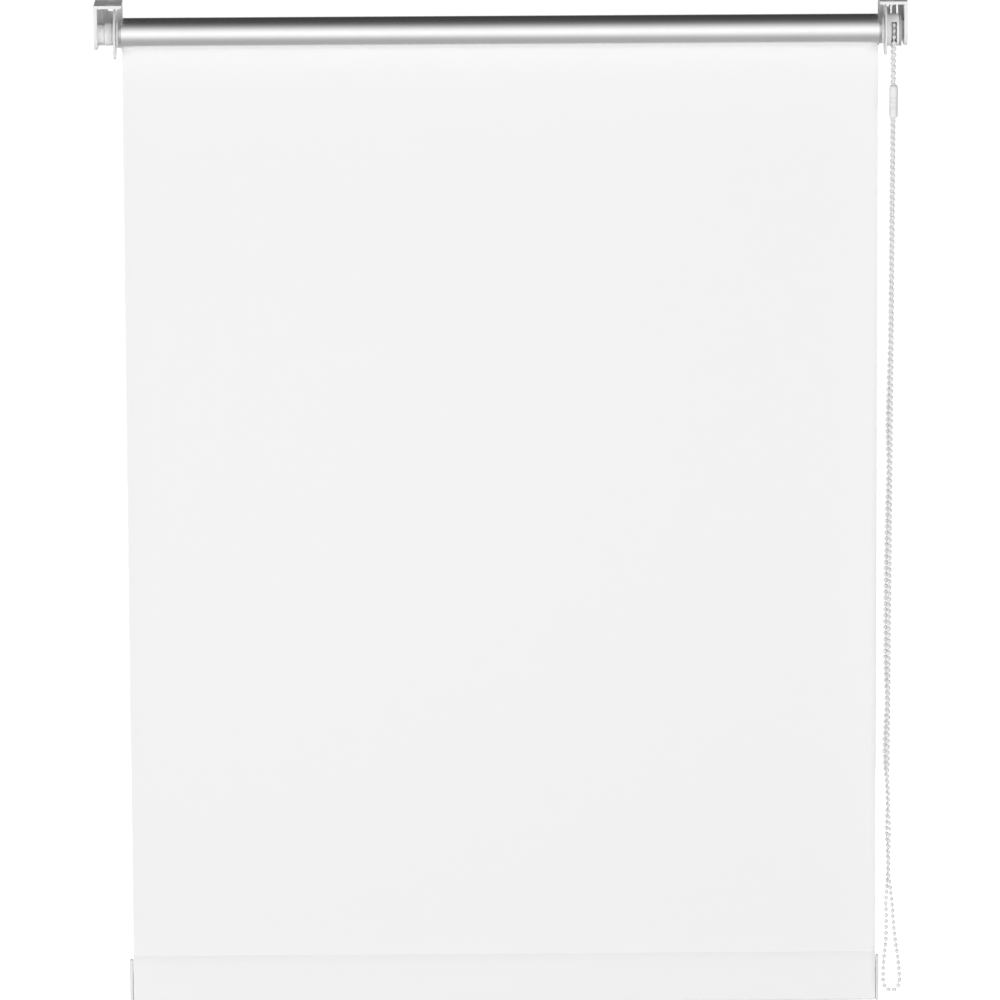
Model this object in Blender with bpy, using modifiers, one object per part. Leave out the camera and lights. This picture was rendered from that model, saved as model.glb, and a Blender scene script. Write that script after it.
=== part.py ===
"""Chain-operated roller blind: two brackets, clutch, spring-pin idler, tube, fabric, hem and bead chain.

Metres, +Z up. The origin lies on the wall plane, midway between the brackets, level with the tube's
axis. X runs along the tube with the chain at +X, and the room is at -Y.
"""
import math

import bmesh
import bpy
from mathutils import Matrix, Vector

for old in list(bpy.data.objects):
    bpy.data.objects.remove(old, do_unlink=True)

MM = 0.001
GAP = 0.3 * MM                # between pieces that touch or turn on each other

# ---- driving dimensions ----
OVERALL_WIDTH = 800 * MM      # outer face to outer face of the brackets
SEAM_DROP = 936 * MM          # tube axis to the hem's seam
HEM_HEIGHT = 50 * MM
HEM_THICKNESS = 6 * MM
CLOTH = 0.4 * MM

AXIS_OUT = 30 * MM            # tube axis from the wall
BRACKET_DEPTH = 48 * MM
BRACKET_TOP = 30 * MM         # above the axis
BRACKET_DROP = 15 * MM        # below the axis
BRACKET_REACH = 27 * MM       # along X
PLATE = 3 * MM
CORNER = 15 * MM              # round front corner of the side plate
SLOT_LENGTH = 10 * MM
SLOT_WIDTH = 5 * MM
SLOT_PLACE = 0.58             # of the way from side plate to free edge

DISC_RADIUS = 25 * MM
DISC_THICKNESS = 2 * MM
IDLE_STACK = 19 * MM          # bracket's outer face to the idle disc
CLUTCH_STACK = 20 * MM        # bracket's outer face to the clutch disc
BARREL_RADIUS = 11 * MM
BARREL_LENGTH = 9 * MM
BOSS_RADIUS = 9 * MM

TUBE_RADIUS = 13.5 * MM
TUBE_WALL = 0.9 * MM
FLANGE = 2.4 * MM             # plug flange between disc and tube
FABRIC_INSET = 2.5 * MM       # tube end to fabric edge
TAPE = 0.15 * MM
TAPE_WIDTH = 12 * MM
TURNS = 5                     # layers of cloth left on the tube
LAYER = 0.25 * MM             # cloth pressed flat in the roll
LAYER_PITCH = 0.3 * MM

PIN_RADIUS = 3 * MM
PIN_PLAY = 0.4 * MM
PIN_COLLAR_RADIUS = 5.2 * MM
PIN_COLLAR = 2.5 * MM
PIN_TAIL_RADIUS = 1.2 * MM
CHAMBER_RADIUS = 5.6 * MM
PLUG_LENGTH = 32 * MM
PLUG_WALL = 2 * MM
COIL_RADIUS = 4.2 * MM
COIL_WIRE = 0.4 * MM
COIL_TURNS = 7

CORE_RADIUS = 6.5 * MM
CORE_LENGTH = 47 * MM         # from the core's flange into the tube
COVER_RADIUS = 16 * MM
COVER_WALL = 1.4 * MM
CORE_FLANGE = 2 * MM
KEY = 11.4 * MM               # square end that sits in the bracket
KEY_FRAME = 18 * MM
KEY_LENGTH = 5 * MM           # from the clutch's flange to the side plate
RIB = 1.8 * MM                # stiffening ribs under the right top plate
RIB_PLACES = (9 * MM, 15 * MM)
WHEEL_SET_IN = 2 * MM         # cover's rim to the sprocket
SLEEVE_WALL = 1.4 * MM
BRAKE_WIRE = 0.6 * MM
BRAKE_TURNS = 4
SCREW_RADIUS = 1.4 * MM
SCREW_HEAD_RADIUS = 3.2 * MM

BEAD_RADIUS = 2.25 * MM
BEAD_PITCH = 6 * MM
POCKETS = 12
STRING_RADIUS = 0.7 * MM
HELD_BEADS = 2                # below the sprocket on each side, before the free chain
CONNECTOR_RADIUS = 4.25 * MM
CONNECTOR_LENGTH = 32 * MM
CONNECTOR_DROP = 70 * MM      # its middle, below the axis

BAR_THICKNESS = 4.2 * MM
BAR_HEIGHT = 34 * MM
BAR_WALL = 0.8 * MM
CAP_STAND = 3.5 * MM          # hem cap past the fabric's edge
CAP_TONGUE = 12 * MM

# ---- what follows from them ----
AXIS = Vector((0, -AXIS_OUT, 0))
HALF = OVERALL_WIDTH / 2
IDLE_DISC_X = -HALF + IDLE_STACK
CLUTCH_DISC_X = HALF - CLUTCH_STACK
TUBE_LEFT = IDLE_DISC_X + DISC_THICKNESS + GAP + FLANGE + GAP
TUBE_RIGHT = CLUTCH_DISC_X - DISC_THICKNESS - GAP - FLANGE - GAP
FABRIC_LEFT = TUBE_LEFT + FABRIC_INSET
FABRIC_RIGHT = TUBE_RIGHT - FABRIC_INSET
BORE_RADIUS = TUBE_RADIUS - TUBE_WALL
TAPE_RADIUS = TUBE_RADIUS + GAP
ROLL_INNER = TAPE_RADIUS + TAPE + GAP
ROLL_RADIUS = ROLL_INNER + TURNS * LAYER_PITCH + LAYER
CLOTH_Y = -AXIS_OUT + ROLL_RADIUS + GAP + CLOTH / 2
SLEEVE_INNER = CORE_RADIUS + 2 * (BRAKE_WIRE + GAP)
SLEEVE_RADIUS = SLEEVE_INNER + SLEEVE_WALL
PITCH_RADIUS = POCKETS * BEAD_PITCH / (2 * math.pi)
WHEEL_RADIUS = PITCH_RADIUS + 0.4 * MM
COVER_X = (CLUTCH_DISC_X + GAP, HALF - PLATE - KEY_LENGTH)
CORE_FLANGE_X = COVER_X[1] + GAP
WHEEL_X = (COVER_X[0] + WHEEL_SET_IN, CORE_FLANGE_X - 2 * GAP)
CHAIN_X = sum(WHEEL_X) / 2
SLOT_INSET = SLOT_WIDTH / 2 + PLATE
CHAIN_EXIT = (HELD_BEADS + 0.5) * BEAD_PITCH + GAP

parts = bpy.data.collections.new("roller_blind")
cutters = bpy.data.collections.new("cutters")
for group in (parts, cutters):
    bpy.context.scene.collection.children.link(group)


# ---- materials ----
def finish(name, colour, roughness, metallic=0.0):
    """A plain Principled material."""
    material = bpy.data.materials.new(name)
    material.use_nodes = True
    shader = material.node_tree.nodes["Principled BSDF"]
    shader.inputs["Base Color"].default_value = (*colour, 1)
    shader.inputs["Roughness"].default_value = roughness
    shader.inputs["Metallic"].default_value = metallic
    return material


WHITE_PLASTIC = ((0.82, 0.82, 0.82), 0.4)
GREY_PLASTIC = ((0.45, 0.46, 0.47), 0.45)
WHITE_CLOTH = ((0.86, 0.86, 0.85), 0.85)
SILVER_CLOTH = ((0.62, 0.63, 0.65), 0.3, 0.6)
ALUMINIUM = ((0.7, 0.71, 0.72), 0.35, 1.0)
STEEL = ((0.55, 0.56, 0.58), 0.3, 1.0)


# ---- shapes ----
def add(name, data, look, group=parts):
    """An object in its collection, with its own material unless it only cuts."""
    piece = bpy.data.objects.new(name, data)
    group.objects.link(piece)
    if group is cutters:
        piece.hide_render = True
        piece.display_type = "WIRE"
    else:
        data.materials.append(finish(name, *look))
    return piece


def block(name, low, high, look=None, group=parts):
    """A box between two corners, its origin at its middle."""
    low, high = Vector(low), Vector(high)
    mesh = bpy.data.meshes.new(name)
    shape = bmesh.new()
    bmesh.ops.create_cube(shape, size=1, matrix=Matrix.Diagonal((*(high - low), 1)))
    shape.to_mesh(mesh)
    shape.free()
    piece = add(name, mesh, look, group)
    piece.location = (low + high) / 2
    return piece


def turned(name, outline, look=None, group=parts, steps=36, ring=True):
    """(x, radius) points turned round the tube's axis. They run from high x to low x on the outside."""
    mesh = bpy.data.meshes.new(name)
    shape = bmesh.new()
    middle = (min(x for x, _ in outline) + max(x for x, _ in outline)) / 2
    points = [shape.verts.new((radius, 0, x - middle)) for x, radius in outline]
    ends = points[1:] + points[:1] if ring else points[1:]
    for first, second in zip(points, ends):
        shape.edges.new((first, second))
    shape.to_mesh(mesh)
    shape.free()
    piece = add(name, mesh, look, group)
    piece.location = AXIS + Vector((middle, 0, 0))
    piece.rotation_euler = (0, math.pi / 2, 0)
    screw = piece.modifiers.new("turn", "SCREW")
    screw.steps = screw.render_steps = steps
    screw.use_merge_vertices = True
    screw.merge_threshold = 0.00001
    return piece


def ring_outline(low, high, inner, outer):
    """The four corners of a plain ring between two x values."""
    return [(high, outer), (low, outer), (low, inner), (high, inner)]


def flat(name, outlines, low, high, look=None, group=parts):
    """(y, z) outlines filled and given a thickness along X; a second outline is a hole."""
    curve = bpy.data.curves.new(name, "CURVE")
    curve.dimensions = "2D"
    curve.fill_mode = "BOTH"
    curve.extrude = (high - low) / 2
    for outline in outlines:
        spline = curve.splines.new("POLY")
        spline.points.add(len(outline) - 1)
        spline.use_cyclic_u = True
        for point, (y, z) in zip(spline.points, outline):
            point.co = (y, z, 0, 1)
    piece = add(name, curve, look, group)
    piece.location = ((low + high) / 2, 0, 0)
    piece.rotation_euler = (math.pi / 2, 0, math.pi / 2)
    return piece


def wire(name, points, radius, look=None, resolution=2, radii=None):
    """A round bar along points, with closed ends."""
    curve = bpy.data.curves.new(name, "CURVE")
    curve.dimensions = "3D"
    curve.bevel_depth = radius
    curve.bevel_resolution = resolution
    curve.use_fill_caps = True
    spline = curve.splines.new("POLY")
    spline.points.add(len(points) - 1)
    for place, (point, at) in enumerate(zip(spline.points, points)):
        point.co = (*at, 1)
        point.radius = radii[place] if radii else 1
    return add(name, curve, look)


def solid(piece):
    """The same piece as a mesh, so that it can be cut or joined."""
    name, collection, placed = piece.name, piece.users_collection[0], piece.matrix_basis.copy()
    bpy.context.view_layer.update()
    evaluated = piece.evaluated_get(bpy.context.evaluated_depsgraph_get())
    mesh = bpy.data.meshes.new_from_object(evaluated)
    shape = bmesh.new()
    shape.from_mesh(mesh)
    bmesh.ops.remove_doubles(shape, verts=shape.verts, dist=0.000005)
    shape.to_mesh(mesh)
    shape.free()
    bpy.data.objects.remove(piece, do_unlink=True)
    made = bpy.data.objects.new(name, mesh)
    made.matrix_basis = placed
    collection.objects.link(made)
    if collection is cutters:
        made.hide_render = True
        made.display_type = "WIRE"
    return made


def boolean(piece, tool, operation="DIFFERENCE"):
    """Cut the piece with a tool, or join the tool to it."""
    step = piece.modifiers.new(operation.lower(), "BOOLEAN")
    step.operation = operation
    step.solver = "EXACT"
    step.object = tool


def soften(piece, width, segments=2):
    """Small round edges."""
    bevel = piece.modifiers.new("edges", "BEVEL")
    bevel.width = width
    bevel.segments = segments
    bevel.limit_method = "ANGLE"
    bevel.angle_limit = math.radians(40)


def arc(centre, radius, first, last, count):
    """Points on an arc in the (y, z) plane, in degrees."""
    turns = [math.radians(first + (last - first) * i / count) for i in range(count + 1)]
    return [(centre[0] + radius * math.cos(t), centre[1] + radius * math.sin(t)) for t in turns]


# ---- brackets ----
def inward(side, distance):
    """The x at a distance from a bracket's outer face."""
    return side * (HALF - distance)


def span(side, near, far):
    """Low and high x between two distances from a bracket's outer face."""
    return sorted((inward(side, near), inward(side, far)))


def slot(name, centre, along_z):
    """A cutter with round ends: long along X, through a plate that faces Z or Y."""
    radius = SLOT_WIDTH / 2
    reach = SLOT_LENGTH / 2 - radius
    mesh = bpy.data.meshes.new(name)
    shape = bmesh.new()
    made = bmesh.ops.create_cone(
        shape, cap_ends=True, segments=16, radius1=radius, radius2=radius, depth=PLATE * 3
    )
    for vert in made["verts"]:
        vert.co.x += math.copysign(reach, vert.co.x) if abs(vert.co.x) > radius / 100 else 0
    shape.to_mesh(mesh)
    shape.free()
    piece = add(name, mesh, None, cutters)
    piece.location = centre
    if not along_z:
        piece.rotation_euler = (math.pi / 2, 0, 0)
    return piece


def bracket(name, side):
    """A moulded corner of three plates: side, top and back, with slots for screws."""
    corner = (-BRACKET_DEPTH + CORNER, -BRACKET_DROP + CORNER)
    outline = [(0, BRACKET_TOP), (-BRACKET_DEPTH, BRACKET_TOP)]
    outline += arc(corner, CORNER, 180, 270, 8)
    outline += [(0, -BRACKET_DROP)]
    piece = solid(flat(name, [outline], *span(side, 0, BRACKET_REACH), WHITE_PLASTIC))
    low, high = span(side, PLATE, BRACKET_REACH + PLATE)
    hollow = block(
        name + "_hollow",
        (low, -BRACKET_DEPTH - PLATE, -BRACKET_DROP - PLATE),
        (high, -PLATE, BRACKET_TOP - PLATE),
        group=cutters,
    )
    boolean(piece, hollow)
    soften(piece, 0.5 * MM, 1)
    middle = inward(side, PLATE + (BRACKET_REACH - PLATE) * SLOT_PLACE)
    inset = SLOT_INSET
    top = BRACKET_TOP - PLATE / 2
    for number, y in enumerate((-PLATE - inset, -BRACKET_DEPTH + inset)):
        boolean(piece, slot(f"{name}_top_slot_{number}", (middle, y, top), True))
    for number, z in enumerate((BRACKET_TOP - PLATE - inset, -BRACKET_DROP + inset)):
        boolean(piece, slot(f"{name}_back_slot_{number}", (middle, -PLATE / 2, z), False))
    return piece


left_bracket = bracket("left_bracket", -1)
BOSS_END = -HALF + IDLE_STACK - BARREL_LENGTH - GAP
boss = turned(
    "idle_boss", ring_outline(-HALF + PLATE / 2, BOSS_END, PIN_RADIUS + PIN_PLAY, BOSS_RADIUS), group=cutters
)
boolean(left_bracket, boss, "UNION")

right_bracket = bracket("right_bracket", 1)
FRAME_X = (CORE_FLANGE_X + CORE_FLANGE + GAP, HALF - PLATE / 2)
half_frame, half_key = KEY_FRAME / 2, KEY / 2 + GAP
key_frame = flat(
    "key_frame",
    [
        [(-AXIS_OUT + a * size, b * size) for a, b in ((-1, -1), (1, -1), (1, 1), (-1, 1))]
        for size in (half_frame, half_key)
    ],
    *FRAME_X,
    group=cutters,
)
boolean(right_bracket, solid(key_frame), "UNION")
RIB_BOTTOM = COVER_RADIUS + 1 * MM
slot_clear = SLOT_INSET + SLOT_WIDTH / 2 + 1 * MM
for number, distance in enumerate(RIB_PLACES):
    low, high = span(1, distance, distance + RIB)
    rib = block(
        f"top_rib_{number}",
        (low, -BRACKET_DEPTH + slot_clear, RIB_BOTTOM),
        (high, -PLATE - slot_clear, BRACKET_TOP - PLATE / 2),
        group=cutters,
    )
    boolean(right_bracket, rib, "UNION")

# ---- idle side: disc with barrel, plug in the tube, sprung pin ----
PIN_HOLE = PIN_RADIUS + PIN_PLAY
disc_out, disc_in = IDLE_DISC_X, IDLE_DISC_X + DISC_THICKNESS
barrel_out = disc_out - BARREL_LENGTH
groove = 1 * MM
turned(
    "idle_disc",
    [
        (disc_in, DISC_RADIUS - 0.5 * MM),
        (disc_in - 0.5 * MM, DISC_RADIUS),
        (disc_out + 0.5 * MM, DISC_RADIUS),
        (disc_out, DISC_RADIUS - 0.5 * MM),
        (disc_out, BARREL_RADIUS),
        (disc_out - groove, BARREL_RADIUS),
        (disc_out - groove, BARREL_RADIUS - groove),
        (disc_out - 2 * groove, BARREL_RADIUS - groove),
        (disc_out - 2 * groove, BARREL_RADIUS),
        (barrel_out + 0.5 * MM, BARREL_RADIUS),
        (barrel_out, BARREL_RADIUS - 0.5 * MM),
        (barrel_out, PIN_HOLE),
        (disc_in, PIN_HOLE),
    ],
    WHITE_PLASTIC,
)
plug_out = disc_in + GAP
plug_in = plug_out + FLANGE + PLUG_LENGTH
chamber_out = plug_out + FLANGE + PLUG_WALL
chamber_in = plug_in - PLUG_WALL
turned(
    "idle_plug",
    [
        (plug_in, BORE_RADIUS - GAP - 1 * MM),
        (plug_in - 1 * MM, BORE_RADIUS - GAP),
        (plug_out + FLANGE, BORE_RADIUS - GAP),
        (plug_out + FLANGE, TUBE_RADIUS),
        (plug_out, TUBE_RADIUS),
        (plug_out, PIN_HOLE),
        (chamber_out, PIN_HOLE),
        (chamber_out, CHAMBER_RADIUS),
        (chamber_in, CHAMBER_RADIUS),
        (chamber_in, PIN_TAIL_RADIUS + PIN_PLAY),
        (plug_in, PIN_TAIL_RADIUS + PIN_PLAY),
    ],
    WHITE_PLASTIC,
)
pin_tip = -HALF + PLATE + GAP
collar_out = chamber_out + GAP
collar_in = collar_out + PIN_COLLAR
turned(
    "idle_pin",
    [
        (chamber_in + PLUG_WALL / 2, 0),
        (chamber_in + PLUG_WALL / 2, PIN_TAIL_RADIUS),
        (collar_in, PIN_TAIL_RADIUS),
        (collar_in, PIN_COLLAR_RADIUS),
        (collar_out, PIN_COLLAR_RADIUS),
        (collar_out, PIN_RADIUS),
        (pin_tip + 1 * MM, PIN_RADIUS),
        (pin_tip, PIN_RADIUS - 1 * MM),
        (pin_tip, 0),
    ],
    STEEL,
    steps=32,
    ring=False,
)


def coil(low, high, radius, turns, per_turn):
    """Points of a helix round the tube's axis."""
    count = turns * per_turn
    for i in range(count + 1):
        t = 2 * math.pi * i / per_turn
        x = low + (high - low) * i / count
        yield (x, AXIS.y + radius * math.cos(t), radius * math.sin(t))


wire(
    "idle_spring",
    list(coil(collar_in + GAP + COIL_WIRE, chamber_in - GAP - COIL_WIRE, COIL_RADIUS, COIL_TURNS, 10)),
    COIL_WIRE,
    STEEL,
)

# ---- clutch side: fixed core, sprocket on it, wrap springs, drive plug ----
core_end = CORE_FLANGE_X - CORE_LENGTH
screw_hole = 12 * MM
core = turned(
    "clutch_core",
    [
        (CORE_FLANGE_X + CORE_FLANGE, 0),
        (CORE_FLANGE_X + CORE_FLANGE, COVER_RADIUS),
        (CORE_FLANGE_X, COVER_RADIUS),
        (CORE_FLANGE_X, CORE_RADIUS),
        (core_end, CORE_RADIUS),
        (core_end, SCREW_RADIUS + GAP),
        (core_end + screw_hole, SCREW_RADIUS + GAP),
        (core_end + screw_hole, 0),
    ],
    GREY_PLASTIC,
    ring=False,
)
key = block(
    "core_key",
    (CORE_FLANGE_X + CORE_FLANGE / 2, AXIS.y - KEY / 2, -KEY / 2),
    (HALF - PLATE - GAP, AXIS.y + KEY / 2, KEY / 2),
    group=cutters,
)
boolean(core, key, "UNION")

washer = (core_end - GAP - 1 * MM, core_end - GAP)
turned(
    "clutch_washer",
    ring_outline(*washer, SCREW_RADIUS + GAP, SLEEVE_INNER - GAP),
    STEEL,
    steps=32,
)
head = washer[0] - GAP
turned(
    "clutch_screw",
    [
        (core_end + screw_hole - 1 * MM, 0),
        (core_end + screw_hole - 1 * MM, SCREW_RADIUS),
        (head, SCREW_RADIUS),
        (head, SCREW_HEAD_RADIUS),
        (head - 1.2 * MM, SCREW_HEAD_RADIUS),
        (head - 2 * MM, SCREW_HEAD_RADIUS * 0.6),
        (head - 2 * MM, 0),
    ],
    STEEL,
    steps=24,
    ring=False,
)

finger_end = core_end + 1.5 * MM
wheel = turned(
    "sprocket",
    [
        (WHEEL_X[1], WHEEL_RADIUS),
        (WHEEL_X[0], WHEEL_RADIUS),
        (WHEEL_X[0], SLEEVE_RADIUS),
        (finger_end, SLEEVE_RADIUS),
        (finger_end, SLEEVE_INNER),
        (WHEEL_X[0] + 1 * MM, SLEEVE_INNER),
        (WHEEL_X[0] + 1 * MM, CORE_RADIUS + GAP),
        (WHEEL_X[1], CORE_RADIUS + GAP),
    ],
    GREY_PLASTIC,
)
string_groove = ring_outline(
    CHAIN_X - 1.1 * MM, CHAIN_X + 1.1 * MM, PITCH_RADIUS - STRING_RADIUS - GAP, WHEEL_RADIUS + 1 * MM
)
boolean(wheel, turned("string_groove", string_groove, group=cutters))
for number in range(POCKETS):
    turn = 2 * math.pi * number / POCKETS
    mesh = bpy.data.meshes.new(f"pocket_{number}")
    shape = bmesh.new()
    bmesh.ops.create_uvsphere(shape, u_segments=10, v_segments=7, radius=BEAD_RADIUS + 1.5 * GAP)
    shape.to_mesh(mesh)
    shape.free()
    pocket = add(f"pocket_{number}", mesh, None, cutters)
    pocket.location = Vector(
        (CHAIN_X, AXIS.y + PITCH_RADIUS * math.cos(turn), PITCH_RADIUS * math.sin(turn))
    )
    pocket.rotation_euler = (turn, 0, 0)
    boolean(wheel, pocket)
plug_right = CLUTCH_DISC_X - DISC_THICKNESS - GAP
finger_half = 5 * MM
between = block(
    "finger_space",
    (finger_end - 1 * MM, AXIS.y - 2 * SLEEVE_RADIUS, -finger_half),
    (plug_right - FLANGE, AXIS.y + 2 * SLEEVE_RADIUS, finger_half),
    group=cutters,
)
boolean(wheel, between)

BRAKE_RADIUS = CORE_RADIUS + GAP + BRAKE_WIRE
brake_length = (2 * BRAKE_WIRE + 0.15 * MM) * BRAKE_TURNS
for number, start in enumerate((core_end + 6 * MM, core_end + 17 * MM)):
    points = coil(start, start + brake_length, BRAKE_RADIUS, BRAKE_TURNS, 12)
    wire(f"brake_spring_{number + 1}", list(points), BRAKE_WIRE, STEEL)

plug_bore = SLEEVE_RADIUS + GAP
plug_outer = BORE_RADIUS - GAP
mid_wall = (plug_bore + plug_outer) / 2
lead_in = min(1 * MM, plug_outer - mid_wall)
drive = turned(
    "drive_plug",
    [
        (plug_right, TUBE_RADIUS),
        (plug_right - FLANGE, TUBE_RADIUS),
        (plug_right - FLANGE, plug_outer),
        (finger_end + lead_in, plug_outer),
        (finger_end, plug_outer - lead_in),
        (finger_end, plug_bore),
        (plug_right, plug_bore),
    ],
    WHITE_PLASTIC,
)
key_x = (finger_end + 1 * MM, plug_right - FLANGE - 2 * MM)
for number, way in enumerate((-1, 1)):
    near, far = sorted((way * (SLEEVE_INNER + GAP), way * plug_outer))
    drive_key = block(
        f"drive_key_{number}",
        (key_x[0], AXIS.y + near, -finger_half + GAP),
        (key_x[1], AXIS.y + far, finger_half - GAP),
        group=cutters,
    )
    key_back = turned(
        f"key_back_{number}",
        ring_outline(key_x[0] - 1 * MM, key_x[1] + 1 * MM, SLEEVE_INNER - 2 * MM, mid_wall),
        group=cutters,
    )
    boolean(drive_key, key_back, "INTERSECT")
    boolean(drive, drive_key, "UNION")

turned(
    "clutch_disc",
    [
        (CLUTCH_DISC_X, DISC_RADIUS - 0.5 * MM),
        (CLUTCH_DISC_X - 0.5 * MM, DISC_RADIUS),
        (CLUTCH_DISC_X - DISC_THICKNESS + 0.5 * MM, DISC_RADIUS),
        (CLUTCH_DISC_X - DISC_THICKNESS, DISC_RADIUS - 0.5 * MM),
        (CLUTCH_DISC_X - DISC_THICKNESS, plug_bore),
        (CLUTCH_DISC_X, plug_bore),
    ],
    WHITE_PLASTIC,
)
cover = turned(
    "clutch_housing",
    [
        (COVER_X[1], COVER_RADIUS),
        (COVER_X[0] + 0.6 * MM, COVER_RADIUS),
        (COVER_X[0], COVER_RADIUS - 0.6 * MM),
        (COVER_X[0], plug_bore),
        (WHEEL_X[0] - GAP, plug_bore),
        (WHEEL_X[0] - GAP, COVER_RADIUS - COVER_WALL),
        (COVER_X[1], COVER_RADIUS - COVER_WALL),
    ],
    WHITE_PLASTIC,
)
window = BEAD_RADIUS + 1.4 * MM
window_half = BEAD_RADIUS + 1.5 * GAP
for name, way, top in (("front_window", -1, 9 * MM), ("rear_window", 1, -1 * MM)):
    near, far = sorted((way * (PITCH_RADIUS - window), way * (COVER_RADIUS + window)))
    opening = block(
        name,
        (CHAIN_X - window_half, AXIS.y + near, -COVER_RADIUS - window),
        (CHAIN_X + window_half, AXIS.y + far, top),
        group=cutters,
    )
    boolean(cover, opening)

# ---- tube and cloth ----
turned("roller_tube", ring_outline(TUBE_LEFT, TUBE_RIGHT, BORE_RADIUS, TUBE_RADIUS), ALUMINIUM)

tape_angle = math.degrees(TAPE_WIDTH / TAPE_RADIUS)
centre = (-AXIS_OUT, 0)
tape = arc(centre, TAPE_RADIUS + TAPE, 0, tape_angle, 8)
tape += arc(centre, TAPE_RADIUS, tape_angle, 0, 8)
flat("fabric_tape", [tape], FABRIC_LEFT, FABRIC_RIGHT, GREY_PLASTIC)


def spiral(outer_radius, steps_per_turn=32):
    """Points of one face of the wound cloth, from the tangent at the back, up over the top and inwards."""
    for i in range(TURNS * steps_per_turn + 1):
        t = 2 * math.pi * i / steps_per_turn
        radius = outer_radius - LAYER_PITCH * i / steps_per_turn
        yield (-AXIS_OUT + radius * math.cos(t), radius * math.sin(t))


wound = list(spiral(ROLL_RADIUS)) + list(spiral(ROLL_RADIUS - LAYER))[::-1]
flat("fabric_roll", [wound], FABRIC_LEFT, FABRIC_RIGHT, SILVER_CLOTH)
block(
    "hanging_fabric",
    (FABRIC_LEFT, CLOTH_Y - CLOTH / 2, -SEAM_DROP),
    (FABRIC_RIGHT, CLOTH_Y + CLOTH / 2, -GAP),
    WHITE_CLOTH,
)

# ---- hem: cloth pocket, hollow bar, end caps ----
HEM_TOP = -SEAM_DROP - GAP
HEM_BOTTOM = HEM_TOP - HEM_HEIGHT


def pocket_outline(inset):
    """A teardrop: narrow at the seam, full over the bar and round below, seen along X."""
    half = HEM_THICKNESS / 2 - inset
    seam = max(CLOTH - inset, 0.08 * MM)
    top = HEM_TOP - (2 * MM if inset else 0)
    shoulder = HEM_TOP - 9 * MM
    bottom = (CLOTH_Y, HEM_BOTTOM + HEM_THICKNESS / 2)
    front = [(CLOTH_Y - seam, top), (CLOTH_Y - half * 0.72, (top + shoulder) / 2), (CLOTH_Y - half, shoulder)]
    back = [(2 * CLOTH_Y - y, z) for y, z in reversed(front)]
    return front + arc(bottom, half, 180, 360, 10) + back


flat("hem_pocket", [pocket_outline(0), pocket_outline(CLOTH)], FABRIC_LEFT, FABRIC_RIGHT, WHITE_CLOTH)

bar_low = HEM_BOTTOM + CLOTH + GAP
bar_middle = bar_low + BAR_HEIGHT / 2


def bar_outline(thickness, height):
    """A flat bar's section with round edges."""
    radius = thickness / 2
    reach = height / 2 - radius
    top = arc((CLOTH_Y, bar_middle + reach), radius, 0, 180, 8)
    return top + arc((CLOTH_Y, bar_middle - reach), radius, 180, 360, 8)


inside = (BAR_THICKNESS - 2 * BAR_WALL, BAR_HEIGHT - 2 * BAR_WALL)
flat(
    "hem_bar",
    [bar_outline(BAR_THICKNESS, BAR_HEIGHT), bar_outline(*inside)],
    FABRIC_LEFT,
    FABRIC_RIGHT,
    ALUMINIUM,
)
for name, edge, way in (("hem_cap_left", FABRIC_LEFT, -1), ("hem_cap_right", FABRIC_RIGHT, 1)):
    head_x = sorted((edge + way * GAP, edge + way * CAP_STAND))
    tongue_x = sorted((edge - way * CAP_TONGUE, edge + way * 1 * MM))
    cap = block(
        name,
        (head_x[0], CLOTH_Y - HEM_THICKNESS / 2, HEM_BOTTOM),
        (head_x[1], CLOTH_Y + HEM_THICKNESS / 2, HEM_TOP - 3 * MM),
        WHITE_PLASTIC,
    )
    soften(cap, 1.2 * MM)
    tongue = bar_outline(inside[0] - 2 * GAP, inside[1] - 2 * GAP)
    boolean(cap, solid(flat(name + "_tongue", [tongue], *tongue_x, group=cutters)), "UNION")

# ---- bead chain ----
front_y, rear_y = AXIS.y - PITCH_RADIUS, AXIS.y + PITCH_RADIUS
EXIT_FRONT = Vector((CHAIN_X, front_y, -CHAIN_EXIT))
EXIT_REAR = Vector((CHAIN_X, rear_y, -CHAIN_EXIT))
STRAIGHT_END = Vector((CHAIN_X - 4.1 * MM, front_y + 3.4 * MM, -738 * MM))

# beads round the sprocket: a bar that swells at every bead
arc_angle = math.pi
wheel_beads = POCKETS // 2
ring_points, ring_radii = [], []
swell = ((-0.5, 0), (-0.34, 0.3), (-0.22, 0.82), (0, 1), (0.22, 0.82), (0.34, 0.3))
first_bead, last_bead = -HELD_BEADS, wheel_beads + HELD_BEADS
stations = [(bead + offset, full) for bead in range(first_bead, last_bead + 1) for offset, full in swell]
for station, full in stations + [(last_bead + 0.5, 0)]:
    along = station * BEAD_PITCH
    turn = along / PITCH_RADIUS
    if along < 0:
        at = (CHAIN_X, front_y, along)
    elif turn > arc_angle:
        at = (CHAIN_X, rear_y, arc_angle * PITCH_RADIUS - along)
    else:
        at = (CHAIN_X, AXIS.y - PITCH_RADIUS * math.cos(turn), PITCH_RADIUS * math.sin(turn))
    ring_points.append(at)
    ring_radii.append((STRING_RADIUS + (BEAD_RADIUS - STRING_RADIUS) * full) / BEAD_RADIUS)
wire("chain_wrap", ring_points, BEAD_RADIUS, WHITE_PLASTIC, radii=ring_radii)

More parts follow.
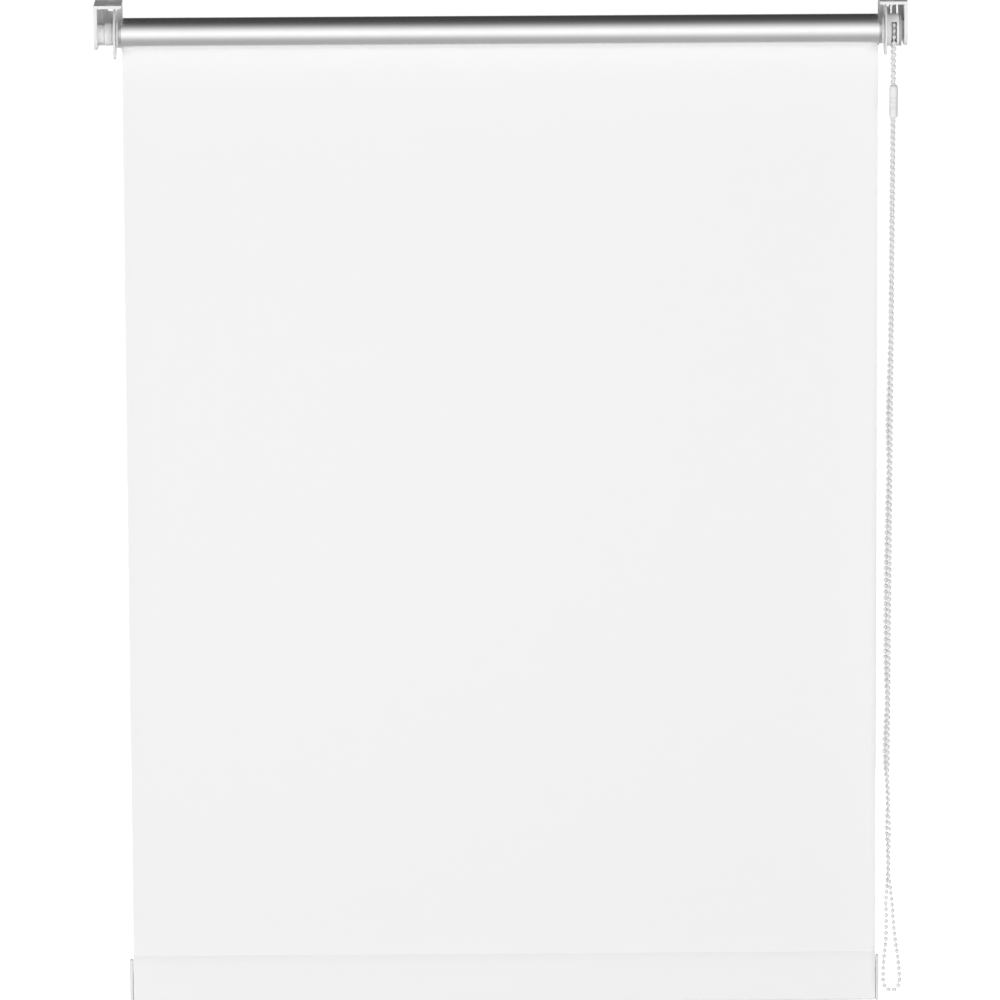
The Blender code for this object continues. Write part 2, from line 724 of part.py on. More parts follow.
# the free loop: the front strand hangs straight, the rear one weaves behind it down to the loop
FREE_LOOP_MM = (
    (383.5, -38.2, -757.8),
    (384.2, -38.4, -778.2),
    (384.9, -38.6, -803.8),
    (384.5, -38.6, -826.3),
    (384.2, -38.5, -844.8),
    (385.5, -38.2, -861.3),
    (387.9, -37.8, -881),
    (389.3, -37.4, -900.6),
    (391.6, -36.9, -921.3),
    (394.2, -36.4, -940),
    (395.7, -36.1, -959.7),
    (393.7, -36.0, -967.9),
    (387.6, -36.0, -971.2),
    (381.4, -36.0, -967.8),
    (379.3, -35.9, -959.6),
    (379.8, -35.4, -940.1),
    (381.8, -34.8, -921.7),
    (382.4, -34.2, -901.3),
    (382.1, -33.6, -881.9),
    (382.8, -33.0, -864.6),
    (383.9, -32.7, -846.1),
    (383.5, -32.8, -827.6),
    (382.2, -33.0, -805),
    (383.2, -32.6, -779.5),
    (382.5, -32.2, -759.1),
    (380.9, -31.6, -738.8),
    (380.6, -31.2, -720.5),
    (381.6, -30.9, -697),
    (382.8, -30.8, -674.6),
    (381.8, -31.0, -654.2),
    (381.1, -31.2, -628.7),
    (381.0, -31.4, -572.7),
    (381.6, -31.4, -522),
    (382.5, -31.2, -476.4),
    (383.6, -30.6, -436.1),
    (382.5, -30.2, -395.8),
    (383.9, -29.4, -345.6),
    (385.2, -28.2, -300.5),
    (386.0, -24.6, -190.8),
    (386.9, -21.6, -91.3),
    (387.0, -19.4, -50),
)


def straight_strand(count):
    """Evenly spaced points down the straight front strand."""
    return [EXIT_FRONT.lerp(STRAIGHT_END, i / count) for i in range(count + 1)]


def smooth(knots, spacing):
    """Points on one smooth curve through the knots, about a spacing apart."""
    ends = [knots[0] * 2 - knots[1]] + knots + [knots[-1] * 2 - knots[-2]]
    points = []
    for before, first, last, after in zip(ends, ends[1:], ends[2:], ends[3:]):
        steps = max(1, round((last - first).length / spacing))
        for i in range(steps):
            t = i / steps
            points.append(
                (first * 2 + (last - before) * t
                 + (before * 2 - first * 5 + last * 4 - after) * t**2
                 + (first * 3 - before - last * 3 + after) * t**3) / 2
            )
    return points + [knots[-1]]


free_knots = [Vector(point) * MM for point in FREE_LOOP_MM]
strand = straight_strand(6)
curve_start = strand[-2]
loop_points = smooth([curve_start, STRAIGHT_END] + free_knots + [EXIT_REAR], 17 * MM)
after_straight = loop_points.index(STRAIGHT_END)
chain_points = strand + loop_points[after_straight + 1:]
wire("bead_chain", chain_points, BEAD_RADIUS, WHITE_PLASTIC)

run = (STRAIGHT_END - EXIT_FRONT).normalized()
share = (CONNECTOR_DROP - CHAIN_EXIT) / (EXIT_FRONT.z - STRAIGHT_END.z)
half_length = CONNECTOR_LENGTH / 2
connector_bore = BEAD_RADIUS + GAP + 0.05 * MM
connector = turned(
    "chain_connector",
    [
        (half_length, CONNECTOR_RADIUS - 1.2 * MM),
        (half_length - 2 * MM, CONNECTOR_RADIUS),
        (2 * GAP, CONNECTOR_RADIUS),
        (0, CONNECTOR_RADIUS - GAP),
        (-2 * GAP, CONNECTOR_RADIUS),
        (-half_length + 2 * MM, CONNECTOR_RADIUS),
        (-half_length, CONNECTOR_RADIUS - 1.2 * MM),
        (-half_length, connector_bore),
        (half_length, connector_bore),
    ],
    WHITE_PLASTIC,
    steps=24,
)
connector.location = EXIT_FRONT.lerp(STRAIGHT_END, share)
connector.rotation_euler = (-run).to_track_quat("Z", "Y").to_euler()

for piece in parts.objects:
    if piece.type == "MESH":
        piece.data.shade_smooth()
        piece.data.set_sharp_from_angle(angle=math.radians(35))
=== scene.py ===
import math

import bmesh
import bpy
from mathutils import Matrix, Vector


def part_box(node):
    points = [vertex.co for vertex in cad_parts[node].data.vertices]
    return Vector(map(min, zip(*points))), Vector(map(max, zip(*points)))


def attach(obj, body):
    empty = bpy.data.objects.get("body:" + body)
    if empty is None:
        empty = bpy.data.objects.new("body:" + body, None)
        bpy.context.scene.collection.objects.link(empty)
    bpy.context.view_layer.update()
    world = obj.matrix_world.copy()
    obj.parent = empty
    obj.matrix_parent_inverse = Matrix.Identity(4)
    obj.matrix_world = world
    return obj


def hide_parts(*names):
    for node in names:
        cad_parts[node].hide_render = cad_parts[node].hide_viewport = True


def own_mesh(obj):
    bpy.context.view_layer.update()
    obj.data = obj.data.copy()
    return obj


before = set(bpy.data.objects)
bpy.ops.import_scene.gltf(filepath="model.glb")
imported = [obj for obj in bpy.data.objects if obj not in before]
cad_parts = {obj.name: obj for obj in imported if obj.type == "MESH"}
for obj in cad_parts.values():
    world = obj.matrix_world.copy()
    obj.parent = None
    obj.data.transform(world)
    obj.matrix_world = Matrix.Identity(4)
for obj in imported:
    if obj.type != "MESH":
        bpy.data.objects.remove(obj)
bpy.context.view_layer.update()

# ---- camera ----
# It stands well back with a long lens, above the brackets and nearly square on, so that the cloth's
# edges stay parallel and the brackets' top plates still show.
ROLL_LOW, ROLL_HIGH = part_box("fabric_roll")
AXIS_Y = (ROLL_LOW.y + ROLL_HIGH.y) / 2
VIEW_WIDTH = 0.9944
CAMERA_DISTANCE = 9.0
CAMERA_PITCH = math.radians(10.5)
CAMERA_YAW = math.radians(-0.5)
CAMERA_ROLL = math.radians(-0.273)
AIM = Vector((-0.0029, AXIS_Y, -0.4691))

camera = bpy.data.objects.new("camera", bpy.data.cameras.new("camera"))
bpy.context.collection.objects.link(camera)
camera.data.sensor_width = 36
camera.data.lens = camera.data.sensor_width * CAMERA_DISTANCE / VIEW_WIDTH
camera.data.clip_end = 100
turn = Matrix.Rotation(CAMERA_YAW, 4, "Z") @ Matrix.Rotation(math.pi / 2 - CAMERA_PITCH, 4, "X")
turn = turn @ Matrix.Rotation(CAMERA_ROLL, 4, "Z")
camera.matrix_world = Matrix.Translation(AIM + turn @ Vector((0, 0, CAMERA_DISTANCE))) @ turn
bpy.context.scene.camera = camera

# ---- operating chain ----
# An endless cord with a white plastic bead moulded on every 6 mm. It hangs from the sprocket in two
# strands that cross a few times and end in a loop; the free part leaves the clutch and goes back in.
MM = 0.001
BEAD_RADIUS = 2.25 * MM
BEAD_PITCH = 6 * MM
STRING_RADIUS = 0.65 * MM
POCKETS = 12
HELD_BEADS = 2
PITCH_RADIUS = POCKETS * BEAD_PITCH / (2 * math.pi)
CHAIN_X = sum(corner.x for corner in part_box("chain_wrap")) / 2
CHAIN_EXIT = -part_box("bead_chain")[1].z
FRONT_EXIT = Vector((CHAIN_X, AXIS_Y - PITCH_RADIUS, -CHAIN_EXIT))
REAR_EXIT = Vector((CHAIN_X, AXIS_Y + PITCH_RADIUS, -CHAIN_EXIT))
STRAIGHT_END = Vector((CHAIN_X - 4.1 * MM, FRONT_EXIT.y + 3.4 * MM, -738 * MM))
FREE_LOOP_MM = (
    (383.5, -38.2, -757.8),
    (384.2, -38.4, -778.2),
    (384.9, -38.6, -803.8),
    (384.5, -38.6, -826.3),
    (384.2, -38.5, -844.8),
    (385.5, -38.2, -861.3),
    (387.9, -37.8, -881),
    (389.3, -37.4, -900.6),
    (391.6, -36.9, -921.3),
    (394.2, -36.4, -940),
    (395.7, -36.1, -959.7),
    (393.7, -36.0, -967.9),
    (387.6, -36.0, -971.2),
    (381.4, -36.0, -967.8),
    (379.3, -35.9, -959.6),
    (379.8, -35.4, -940.1),
    (381.8, -34.8, -921.7),
    (382.4, -34.2, -901.3),
    (382.1, -33.6, -881.9),
    (382.8, -33.0, -864.6),
    (383.9, -32.7, -846.1),
    (383.5, -32.8, -827.6),
    (382.2, -33.0, -805),
    (383.2, -32.6, -779.5),
    (382.5, -32.2, -759.1),
    (380.9, -31.6, -738.8),
    (380.6, -31.2, -720.5),
    (381.6, -30.9, -697),
    (382.8, -30.8, -674.6),
    (381.8, -31.0, -654.2),
    (381.1, -31.2, -628.7),
    (381.0, -31.4, -572.7),
    (381.6, -31.4, -522),
    (382.5, -31.2, -476.4),
    (383.6, -30.6, -436.1),
    (382.5, -30.2, -395.8),
    (383.9, -29.4, -345.6),
    (385.2, -28.2, -300.5),
    (386.0, -24.6, -190.8),
    (386.9, -21.6, -91.3),
    (387.0, -19.4, -50),
)


def smooth_line(knots, spacing):
    """Points on one smooth curve through the knots, about a spacing apart."""
    ends = [knots[0] * 2 - knots[1]] + knots + [knots[-1] * 2 - knots[-2]]
    points = []
    for before, first, last, after in zip(ends, ends[1:], ends[2:], ends[3:]):
        steps = max(1, round((last - first).length / spacing))
        for i in range(steps):
            t = i / steps
            points.append(
                (first * 2 + (last - before) * t
                 + (before * 2 - first * 5 + last * 4 - after) * t**2
                 + (first * 3 - before - last * 3 + after) * t**3) / 2
            )
    return points + [knots[-1]]


def run_lengths(points):
    """How far along the line each point lies."""
    lengths = [0.0]
    for first, last in zip(points, points[1:]):
        lengths.append(lengths[-1] + (last - first).length)
    return lengths


def even_places(points, first, last, count):
    """Places, with their directions, evenly spaced along a line between two distances."""
    lengths = run_lengths(points)
    places, at = [], 0
    for i in range(count + 1):
        wanted = first + (last - first) * i / count
        while at < len(points) - 2 and lengths[at + 1] < wanted:
            at += 1
        share = (wanted - lengths[at]) / max(lengths[at + 1] - lengths[at], 1e-9)
        places.append((points[at].lerp(points[at + 1], share), (points[at + 1] - points[at]).normalized()))
    return places


def shader_of(name):
    """A new material, its node tree, its Principled shader and its object coordinates."""
    material = bpy.data.materials.new(name)
    material.use_nodes = True
    tree = material.node_tree
    place = tree.nodes.new("ShaderNodeTexCoord").outputs["Object"]
    return material, tree, tree.nodes["Principled BSDF"], place


def noise(tree, place, scale, detail=3.0, stretch=(1, 1, 1)):
    """A noise texture on object coordinates, in features to the metre."""
    mapping = tree.nodes.new("ShaderNodeMapping")
    mapping.inputs["Scale"].default_value = stretch
    texture = tree.nodes.new("ShaderNodeTexNoise")
    texture.inputs["Scale"].default_value = scale
    texture.inputs["Detail"].default_value = detail
    tree.links.new(place, mapping.inputs["Vector"])
    tree.links.new(mapping.outputs["Vector"], texture.inputs["Vector"])
    return texture.outputs["Fac"]


def ramp(tree, value, stops):
    """A colour ramp through (position, colour) stops."""
    node = tree.nodes.new("ShaderNodeValToRGB")
    elements = node.color_ramp.elements
    while len(elements) < len(stops):
        elements.new(0.5)
    for element, (position, colour) in zip(elements, stops):
        element.position = position
        element.color = (*colour, 1) if hasattr(colour, "__len__") else (colour, colour, colour, 1)
    tree.links.new(value, node.inputs["Fac"])
    return node.outputs["Color"]


def bump(tree, height, strength, distance, under=None):
    """A bump that may lie on another bump."""
    node = tree.nodes.new("ShaderNodeBump")
    node.inputs["Strength"].default_value = strength
    node.inputs["Distance"].default_value = distance
    tree.links.new(height, node.inputs["Height"])
    if under is not None:
        tree.links.new(under, node.inputs["Normal"])
    return node.outputs["Normal"]


def moulded_plastic(name, colour, roughness=0.38):
    """Moulded plastic: faint flow mottling, uneven gloss and a fine spark-eroded grain."""
    material, tree, shader, place = shader_of(name)
    mottle = noise(tree, place, 60)
    darker = tuple(c * 0.955 for c in colour)
    tree.links.new(ramp(tree, mottle, [(0.35, darker), (0.7, colour)]), shader.inputs["Base Color"])
    gloss = ramp(tree, noise(tree, place, 240), [(0.3, roughness - 0.05), (0.7, roughness + 0.08)])
    tree.links.new(gloss, shader.inputs["Roughness"])
    grain = bump(tree, noise(tree, place, 2600, 2), 0.12, 0.00004)
    tree.links.new(bump(tree, noise(tree, place, 110), 0.15, 0.0001, grain), shader.inputs["Normal"])
    shader.inputs["IOR"].default_value = 1.49
    shader.inputs["Subsurface Weight"].default_value = 0.06
    shader.inputs["Subsurface Radius"].default_value = (0.002, 0.002, 0.002)
    return material


def made_piece(name, shape, materials, body):
    """Turn a bmesh into a piece that rides on a body, in the materials it is given."""
    mesh = bpy.data.meshes.new(name)
    shape.to_mesh(mesh)
    shape.free()
    for material in materials:
        mesh.materials.append(material)
    mesh.shade_smooth()
    mesh.set_sharp_from_angle(angle=math.radians(38))
    obj = bpy.data.objects.new(name, mesh)
    bpy.context.collection.objects.link(obj)
    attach(obj, body)
    return obj


def add_tube(shape, points, radius, sides):
    """Sweep a round section along points into the bmesh, with closed ends."""
    before = Vector((1, 0, 0))
    rings = []
    for place, at in enumerate(points):
        way = (points[min(place + 1, len(points) - 1)] - points[max(place - 1, 0)]).normalized()
        before = (before - way * before.dot(way)).normalized()
        matrix = Matrix((before, way.cross(before), way)).transposed().to_4x4()
        made = bmesh.ops.create_circle(shape, segments=sides, radius=radius)
        bmesh.ops.transform(shape, matrix=Matrix.Translation(at) @ matrix, verts=made["verts"])
        rings.append(made["verts"])
    for first, last in zip(rings, rings[1:]):
        edges = []
        for ring in (first, last):
            for vert in ring:
                around = [e for e in vert.link_edges if e.other_vert(vert) in ring and e not in edges]
                edges += around
        bmesh.ops.bridge_loops(shape, edges=edges)
    for end in (rings[0], rings[-1]):
        shape.faces.new(end)


def add_beads(shape, places):
    """A bead at each place, slightly longer along the cord than it is wide."""
    for at, way in places:
        turned = way.to_track_quat("Z", "Y").to_matrix().to_4x4()
        matrix = Matrix.Translation(at) @ turned @ Matrix.Diagonal((1, 1, 1.04, 1))
        bmesh.ops.create_uvsphere(shape, u_segments=10, v_segments=7, radius=BEAD_RADIUS, matrix=matrix)


chain_plastic = moulded_plastic("chain_plastic", (0.84, 0.84, 0.83), 0.3)
STRAIGHT_STEPS = 60
CURVE_STEP = 4 * MM
END_GAP = 0.3 * MM
straight = [FRONT_EXIT.lerp(STRAIGHT_END, i / STRAIGHT_STEPS) for i in range(STRAIGHT_STEPS)]
free_knots = [FRONT_EXIT.lerp(STRAIGHT_END, 5 / 6), STRAIGHT_END]
free_knots += [Vector(point) * MM for point in FREE_LOOP_MM] + [REAR_EXIT]
curved = smooth_line(free_knots, CURVE_STEP)
chain_line = straight + curved[curved.index(STRAIGHT_END):]
chain_length = run_lengths(chain_line)[-1]
first_bead = BEAD_PITCH / 2 - END_GAP
bead_steps = round((chain_length - 2 * first_bead) / BEAD_PITCH)

shape = bmesh.new()
add_tube(shape, chain_line[::2] + chain_line[-1:], STRING_RADIUS, 6)
add_beads(shape, even_places(chain_line, first_bead, chain_length - first_bead, bead_steps))
bmesh.ops.recalc_face_normals(shape, faces=shape.faces)
free_chain = made_piece("free_chain", shape, [chain_plastic], "root")
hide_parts("bead_chain")

# ---- chain connector ----
# A white snap-on barrel in two halves that grips the last bead of each end of the cord. It stops
# against the clutch when the blind is fully down, so it sits near the top of the front strand.
white_plastic = moulded_plastic("white_plastic", (0.86, 0.86, 0.86))
connector_low, connector_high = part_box("chain_connector")
run = (STRAIGHT_END - FRONT_EXIT).normalized()
connector_middle = (connector_low.z + connector_high.z) / 2
connector_at = FRONT_EXIT + run * ((connector_middle - FRONT_EXIT.z) / run.z)
half_length = (connector_high.z - connector_low.z) / 2 - 0.05 * MM
barrel_radius = 4.2 * MM
barrel_profile = [
    (2.65 * MM, half_length - 1.4 * MM),
    (2.65 * MM, half_length - 0.2 * MM),
    (2.85 * MM, half_length),
    (3.2 * MM, half_length - 0.1 * MM),
    (3.75 * MM, half_length - 0.8 * MM),
    (4.1 * MM, half_length - 2.0 * MM),
    (barrel_radius, half_length - 3.4 * MM),
    (barrel_radius, 5.2 * MM),
    (4.0 * MM, 4.9 * MM),
    (4.0 * MM, 4.5 * MM),
    (barrel_radius, 4.2 * MM),
    (barrel_radius, 0.35 * MM),
    (3.95 * MM, 0.0),
]
half_profile = barrel_profile + [(r, -z) for r, z in barrel_profile[-2::-1]]


def spun(shape, profile, matrix, steps):
    """Turn (radius, height) points a full circle into the bmesh, then put the result in place."""
    verts = [shape.verts.new((radius, 0, height)) for radius, height in profile]
    edges = [shape.edges.new(pair) for pair in zip(verts, verts[1:])]
    bmesh.ops.spin(
        shape,
        geom=verts + edges,
        cent=(0, 0, 0),
        axis=(0, 0, 1),
        angle=2 * math.pi,
        steps=steps,
        use_merge=True,
    )
    bmesh.ops.remove_doubles(shape, verts=shape.verts, dist=0.000002)
    bmesh.ops.transform(shape, matrix=matrix, verts=shape.verts)
    return shape


along_run = (-run).to_track_quat("Z", "Y").to_matrix().to_4x4()
shape = spun(bmesh.new(), half_profile + half_profile[:1], Matrix.Translation(connector_at) @ along_run, 32)
bmesh.ops.recalc_face_normals(shape, faces=shape.faces)
connector = made_piece("connector_barrel", shape, [white_plastic], "connector")
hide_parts("chain_connector")

# ---- beads in the clutch ----
# The same chain where it lies in the sprocket's pockets, from one strand over the top to the other.
wheel_line = [FRONT_EXIT.lerp(Vector((CHAIN_X, FRONT_EXIT.y, 0)), i / 4) for i in range(4)]
ARC_STEPS = 24
for i in range(ARC_STEPS + 1):
    t = math.pi * i / ARC_STEPS
    wheel_line.append(Vector((CHAIN_X, AXIS_Y - PITCH_RADIUS * math.cos(t), PITCH_RADIUS * math.sin(t))))
wheel_line += [Vector((CHAIN_X, REAR_EXIT.y, 0)).lerp(REAR_EXIT, i / 4) for i in range(1, 5)]
held = CHAIN_EXIT - HELD_BEADS * BEAD_PITCH
wheel_length = run_lengths(wheel_line)[-1]
shape = bmesh.new()
add_tube(shape, wheel_line, STRING_RADIUS, 6)
add_beads(shape, even_places(wheel_line, held, wheel_length - held, POCKETS // 2 + 2 * HELD_BEADS))
bmesh.ops.recalc_face_normals(shape, faces=shape.faces)
wheel_chain = made_piece("chain_on_sprocket", shape, [chain_plastic], "root")
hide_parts("chain_wrap")

# ---- brackets ----
# Two white moulded corners of side, top and back plate with slots for screws. The left one holds the
# idle pin in a round boss, the right one the clutch's square end, under two stiffening ribs.


def merged_copy(node, name, body, material):
    """The CAD node as a closed mesh, in its own finish."""
    shape = bmesh.new()
    shape.from_mesh(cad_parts[node].data)
    bmesh.ops.remove_doubles(shape, verts=shape.verts, dist=0.000004)
    bmesh.ops.dissolve_limit(shape, angle_limit=math.radians(1), verts=shape.verts, edges=shape.edges)
    copy = made_piece(name, shape, [material], body)
    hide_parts(node)
    return copy


for node in ("left_bracket", "right_bracket"):
    merged_copy(node, node + "_moulding", "root", white_plastic)

# ---- side discs ----
# Thin white discs that keep the cloth between them. The idle one turns with the tube and has a hub
# barrel; the clutch one is fixed to the clutch's cover.
for node, body in (("idle_disc", "roller"), ("clutch_disc", "root"), ("clutch_housing", "root")):
    merged_copy(node, node + "_moulding", body, white_plastic)

# ---- inner works ----
# What sits in the tube and the clutch: the CAD's own solids in their finishes.
grey_plastic = moulded_plastic("grey_plastic", (0.42, 0.43, 0.44), 0.45)


def brushed_metal(name, colour, roughness, stretch):
    """Bright metal with fine drawn lines and a little uneven tarnish."""
    material, tree, shader, place = shader_of(name)
    shader.inputs["Metallic"].default_value = 1.0
    lines = noise(tree, place, 900, 4, stretch)
    dull = tuple(c * 0.86 for c in colour)
    tarnish = ramp(tree, noise(tree, place, 45), [(0.3, dull), (0.65, colour)])
    tree.links.new(tarnish, shader.inputs["Base Color"])
    gloss = ramp(tree, lines, [(0.3, roughness - 0.06), (0.7, roughness + 0.1)])
    tree.links.new(gloss, shader.inputs["Roughness"])
    tree.links.new(bump(tree, lines, 0.2, 0.00003), shader.inputs["Normal"])
    return material


steel = brushed_metal("steel", (0.62, 0.63, 0.65), 0.3, (1, 1, 1))
aluminium = brushed_metal("aluminium", (0.75, 0.76, 0.77), 0.34, (0.02, 1, 1))
INNER = {
    "idle_plug": ("roller", "white_plastic", white_plastic),
    "drive_plug": ("roller", "white_plastic", white_plastic),
    "sprocket": ("roller", "grey_plastic", grey_plastic),
    "clutch_core": ("root", "grey_plastic", grey_plastic),
    "fabric_tape": ("roller", "grey_plastic", grey_plastic),
    "idle_pin": ("idle_pin", "steel", steel),
    "idle_spring": ("idle_pin", "steel", steel),
    "clutch_washer": ("root", "steel", steel),
    "clutch_screw": ("root", "steel", steel),
    "brake_spring_1": ("root", "steel", steel),
    "brake_spring_2": ("root", "steel", steel),
    "roller_tube": ("roller", "aluminium", aluminium),
    "hem_bar": ("hem", "aluminium", aluminium),
}
for node, (body, slot, material) in INNER.items():
    piece = merged_copy(node, node + "_part", body, material)
    if node == "idle_spring":
        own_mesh(piece)

# ---- cloth ----
# One length of white polyester with a silver pearl coating on its back. It hangs from the back of the
# roll, so the wound cloth shows its coating to the room and the hanging cloth its white face.
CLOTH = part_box("hanging_fabric")[1].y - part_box("hanging_fabric")[0].y
THREAD = 0.45 * MM


def weave_height(tree, place, across, up):
    """Over-and-under of warp and weft: two wave bands, the higher one showing."""
    bands = []
    for axis in (across, up):
        wave = tree.nodes.new("ShaderNodeTexWave")
        wave.wave_type = "BANDS"
        wave.bands_direction = axis
        wave.inputs["Scale"].default_value = math.pi / 10 / THREAD
        wave.inputs["Distortion"].default_value = 0.6
        wave.inputs["Detail"].default_value = 1
        wave.inputs["Detail Scale"].default_value = 0.4
        tree.links.new(place, wave.inputs["Vector"])
        bands.append(wave.outputs["Fac"])
    top = tree.nodes.new("ShaderNodeMath")
    top.operation = "MAXIMUM"
    tree.links.new(bands[0], top.inputs[0])
    tree.links.new(bands[1], top.inputs[1])
    return top.outputs["Value"]


def white_weave(name, across, up):
    """The room side: matt white plain weave with slubs and a soft sheen."""
    material, tree, shader, place = shader_of(name)
    threads = weave_height(tree, place, across, up)
    colour = ramp(tree, threads, [(0.2, (0.862, 0.862, 0.862)), (0.8, (0.888, 0.888, 0.888))])
    tree.links.new(colour, shader.inputs["Base Color"])
    shader.inputs["Roughness"].default_value = 0.8
    shader.inputs["Sheen Weight"].default_value = 0.15
    shader.inputs["Sheen Roughness"].default_value = 0.5
    weave = bump(tree, threads, 0.25, 0.00006)
    slub = noise(tree, place, 160, 2, (0.05, 1, 1))
    tree.links.new(bump(tree, slub, 0.15, 0.00008, weave), shader.inputs["Normal"])
    return material


def silver_coat(name, across, up):
    """The window side: a silver pearl coating through which the weave just shows."""
    material, tree, shader, place = shader_of(name)
    threads = weave_height(tree, place, across, up)
    cloud = noise(tree, place, 25, 3)
    colour = ramp(tree, cloud, [(0.3, (0.925, 0.925, 0.925)), (0.7, (0.945, 0.945, 0.945))])
    tree.links.new(colour, shader.inputs["Base Color"])
    shader.inputs["Metallic"].default_value = 0.95
    gloss = ramp(tree, noise(tree, place, 300, 2), [(0.3, 0.17), (0.7, 0.24)])
    tree.links.new(gloss, shader.inputs["Roughness"])
    weave = bump(tree, threads, 0.08, 0.00004)
    ripple = noise(tree, place, 30, 2, (0.15, 1, 1))
    tree.links.new(bump(tree, ripple, 0.1, 0.0003, weave), shader.inputs["Normal"])
    return material


white_front = white_weave("white_cloth", "X", "Z")
silver_back = silver_coat("silver_coat", "X", "Z")
sheet_low, sheet_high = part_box("hanging_fabric")
sheet_low.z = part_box("hem_pocket")[1].z
CELL = 12 * MM
width, drop = sheet_high.x - sheet_low.x, sheet_high.z - sheet_low.z
columns, rows = round(width / CELL), round(drop / CELL)
shape = bmesh.new()
bmesh.ops.create_grid(
    shape,
    x_segments=columns,
    y_segments=rows,
    size=0.5,
    matrix=Matrix.Rotation(math.pi / 2, 4, "X") @ Matrix.Diagonal((width, drop, 1, 1)),
)
middle = (sheet_low + sheet_high) / 2
CURL = 1.6 * MM
CURL_REACH = 14 * MM
SWAY = 0.5 * MM
SWAY_TURN = 9                    # radians of the sway's wave to the metre
for vert in shape.verts:
    edge = width / 2 - abs(vert.co.x)
    down = (drop / 2 - vert.co.z) / drop
    curl = CURL * max(0, 1 - edge / CURL_REACH) ** 2 * math.sin(math.pi * down) ** 2
    sway = SWAY * math.sin(vert.co.x * SWAY_TURN) * math.sin(math.pi * down)
    vert.co = vert.co + middle + Vector((0, curl + sway, 0))
bmesh.ops.recalc_face_normals(shape, faces=shape.faces)
if sum(face.normal.y for face in shape.faces) > 0:
    bmesh.ops.reverse_faces(shape, faces=shape.faces)
bmesh.ops.solidify(shape, geom=list(shape.faces), thickness=CLOTH)
for face in shape.faces:
    face.material_index = 1 if face.normal.y > 0.5 else 0
hanging = made_piece("hanging_cloth", shape, [white_front, silver_back], "root")
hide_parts("hanging_fabric")
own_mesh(hanging)

# ---- wound cloth ----
# The part of the cloth that stays on the tube even with the blind down: a spiral of five layers whose
# outer end leaves the roll at the back.
TURNS = 5
ROLL_RADIUS = ROLL_HIGH.y - AXIS_Y
LAYER_PITCH = 0.3 * MM
LAYER = 0.25 * MM
PER_TURN = 96
LENGTHWISE = 24
silver_roll = silver_coat("silver_roll", "X", "Z")
shape = bmesh.new()
outline = []
for i in range(TURNS * PER_TURN + 1):
    t = 2 * math.pi * i / PER_TURN
    radius = ROLL_RADIUS - LAYER_PITCH * i / PER_TURN - LAYER
    outline.append(shape.verts.new((ROLL_LOW.x, AXIS_Y + radius * math.cos(t), radius * math.sin(t))))
spine = [shape.edges.new(pair) for pair in zip(outline, outline[1:])]
cell = (ROLL_HIGH.x - ROLL_LOW.x) / LENGTHWISE
edges = spine
for _ in range(LENGTHWISE):
    made = bmesh.ops.extrude_edge_only(shape, edges=edges)["geom"]
    verts = [item for item in made if isinstance(item, bmesh.types.BMVert)]
    edges = [item for item in made if isinstance(item, bmesh.types.BMEdge)]
    bmesh.ops.translate(shape, vec=(cell, 0, 0), verts=verts)
face = max(shape.faces, key=lambda f: f.calc_center_median().z)
bmesh.ops.recalc_face_normals(shape, faces=shape.faces)
# the outline is each layer's inner side, so its faces look at the axis and the thickness goes outwards
if face.normal.z > 0:
    bmesh.ops.reverse_faces(shape, faces=shape.faces)
bmesh.ops.solidify(shape, geom=list(shape.faces), thickness=LAYER)
roll = made_piece("wound_cloth", shape, [silver_roll], "roller")
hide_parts("fabric_roll")

# ---- hem ----
# The cloth's lower end is folded round a hollow flat bar and welded along a seam. A white end cap
# plugs into each end of the bar and stands a little proud of the cloth.
white_hem = white_weave("white_hem", "X", "Z")
pocket = merged_copy("hem_pocket", "hem_cloth", "hem", white_hem)
for node in ("hem_cap_left", "hem_cap_right"):
    merged_copy(node, node + "_moulding", "hem", white_plastic)

# ---- floor and light ----
# A pale floor, and an even white room with a darker ceiling: the metal coating needs something to mirror.
FLOOR_Z = -1.6
FLOOR_HALF = 60
floor_shape = bmesh.new()
bmesh.ops.create_grid(
    floor_shape,
    x_segments=1,
    y_segments=1,
    size=FLOOR_HALF,
    matrix=Matrix.Translation((0, 0, FLOOR_Z)),
)
floor_mesh = bpy.data.meshes.new("floor")
floor_shape.to_mesh(floor_mesh)
floor_shape.free()
floor = bpy.data.objects.new("floor", floor_mesh)
bpy.context.collection.objects.link(floor)
floor_material, tree, shader, place = shader_of("floor_paint")
shader.inputs["Base Color"].default_value = (0.9, 0.9, 0.9, 1)
shader.inputs["Emission Color"].default_value = (1, 1, 1, 1)
shader.inputs["Emission Strength"].default_value = 0.85
shader.inputs["Roughness"].default_value = 0.9
floor_mesh.materials.append(floor_material)
floor.visible_glossy = False
floor.visible_diffuse = False

world = bpy.data.worlds.new("room")
bpy.context.scene.world = world
world.use_nodes = True
tree = world.node_tree
direction = tree.nodes.new("ShaderNodeTexCoord").outputs["Generated"]
parts = tree.nodes.new("ShaderNodeSeparateXYZ")
tree.links.new(direction, parts.inputs["Vector"])


def world_math(operation, first, second):
    """A maths node in the world's tree."""
    node = tree.nodes.new("ShaderNodeMath")
    node.operation = operation
    for socket, value in zip(node.inputs, (first, second)):
        if isinstance(value, float):
            socket.default_value = value
        else:
            tree.links.new(value, socket)
    return node.outputs["Value"]


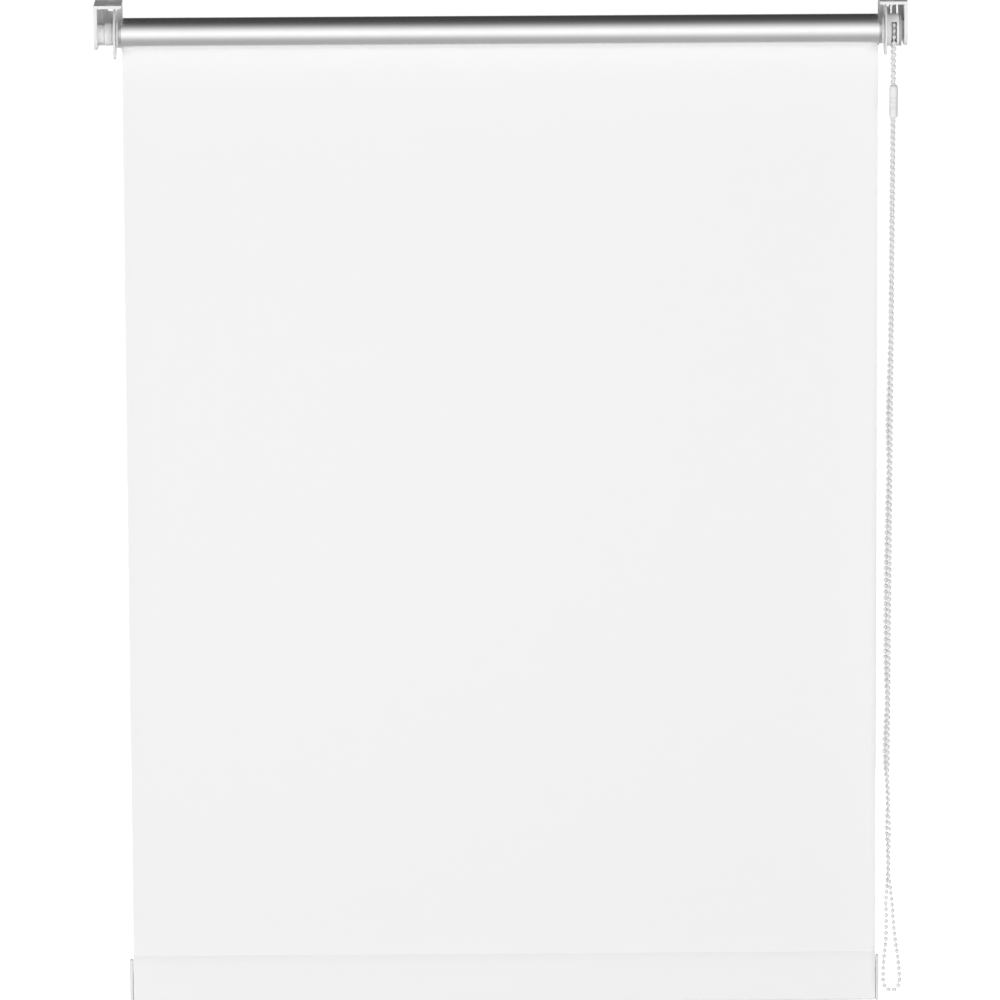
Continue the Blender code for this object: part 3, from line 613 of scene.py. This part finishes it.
# degrees round the tube's axis, 0 level to the front and 90 overhead, against brightness
ROOM_MIRRORED = (
    (-180, 0.80), (-168, 0.75), (-152, 0.48), (-130, 0.44), (-103, 0.43), (-64, 0.40),
    (-48, 0.43), (-33, 0.58), (-18, 0.88), (-4, 1.1), (11, 1.1), (25, 0.94), (40, 0.64),
    (56, 0.33), (72, 0.13), (92, 0.05), (151, 0.03), (165, 0.3), (180, 0.80),
)
round_axis = world_math("ARCTAN2", parts.outputs["Z"], world_math("MULTIPLY", parts.outputs["Y"], -1.0))
share = world_math("ADD", world_math("MULTIPLY", round_axis, 1 / (2 * math.pi)), 0.5)
mirrored = ramp(tree, share, [((angle + 180) / 360, value) for angle, value in ROOM_MIRRORED])
up = world_math("ADD", world_math("MULTIPLY", parts.outputs["Z"], 0.5), 0.5)
lit = ramp(tree, up, [(0.0, 0.75), (0.4, 0.8), (0.6, 0.75), (0.8, 0.3), (1.0, 0.1)])
rays = tree.nodes.new("ShaderNodeLightPath")
skies = []
for colour, strength in ((lit, 0.6), (mirrored, 1.0), (None, 1.0)):
    sky = tree.nodes.new("ShaderNodeBackground")
    sky.inputs["Strength"].default_value = strength
    if colour is None:
        sky.inputs["Color"].default_value = (1, 1, 1, 1)
    else:
        tree.links.new(colour, sky.inputs["Color"])
    skies.append(sky.outputs["Background"])
seen = skies[0]
for kind, sky in (("Is Glossy Ray", skies[1]), ("Is Camera Ray", skies[2])):
    choice = tree.nodes.new("ShaderNodeMixShader")
    tree.links.new(rays.outputs[kind], choice.inputs[0])
    tree.links.new(seen, choice.inputs[1])
    tree.links.new(sky, choice.inputs[2])
    seen = choice.outputs["Shader"]
tree.links.new(seen, tree.nodes["World Output"].inputs["Surface"])

for name, at, power, size in (
    ("front_softbox", (1.2, -4.0, -0.1), 76, 2.4),
    ("fill_softbox", (-2.0, -3.6, -0.8), 62, 2.0),
    ("back_softbox", (0.9, 3.8, -0.3), 70, 2.4),
):
    light = bpy.data.lights.new(name, "AREA")
    light.energy = power
    light.size = size
    lamp = bpy.data.objects.new(name, light)
    bpy.context.collection.objects.link(lamp)
    lamp.location = at
    lamp.rotation_euler = (AIM - Vector(at)).to_track_quat("-Z", "Y").to_euler()
    lamp.visible_camera = False
    lamp.visible_glossy = False

bpy.context.scene.view_settings.view_transform = "Standard"
